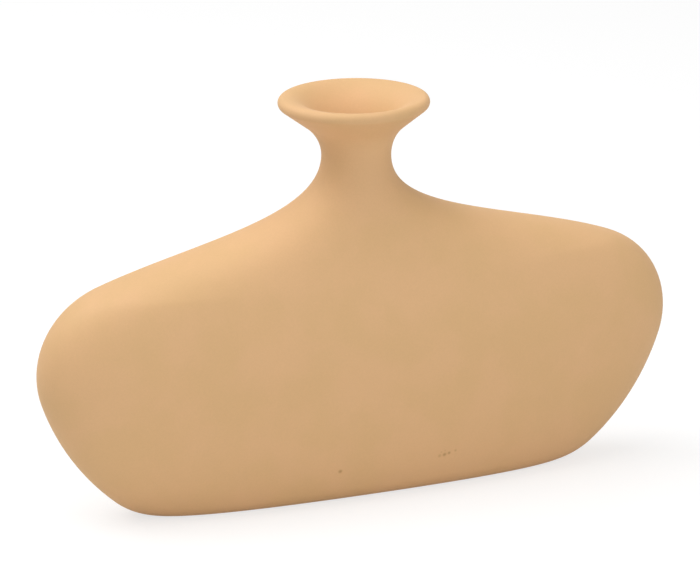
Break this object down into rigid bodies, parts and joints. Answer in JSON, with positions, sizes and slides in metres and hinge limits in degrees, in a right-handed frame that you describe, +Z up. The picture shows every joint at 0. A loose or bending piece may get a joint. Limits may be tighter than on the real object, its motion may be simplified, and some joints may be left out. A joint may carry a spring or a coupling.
{
  "type": "pillow vase",
  "caption": "Flattened ceramic flower vase with broad gently rounded faces, a long flat foot, a round waisted neck and a flared oval mouth.",
  "frame": {"origin": "centre of the flat standing face of the foot, on the surface the vase stands on", "axes": "+X along the vase's width, +Y towards its back, +Z up through the neck"},
  "size_m": [0.33, 0.076, 0.1974],
  "materials": {
    "tan_bisque": "matte tan slip over fired clay, faintly mottled"
  },
  "bodies": {
    "root": {"front_shell": "tan_bisque", "rear_shell": "tan_bisque", "foot_slab": "tan_bisque", "neck_collar": "tan_bisque"}
  },
  "joints": []
}
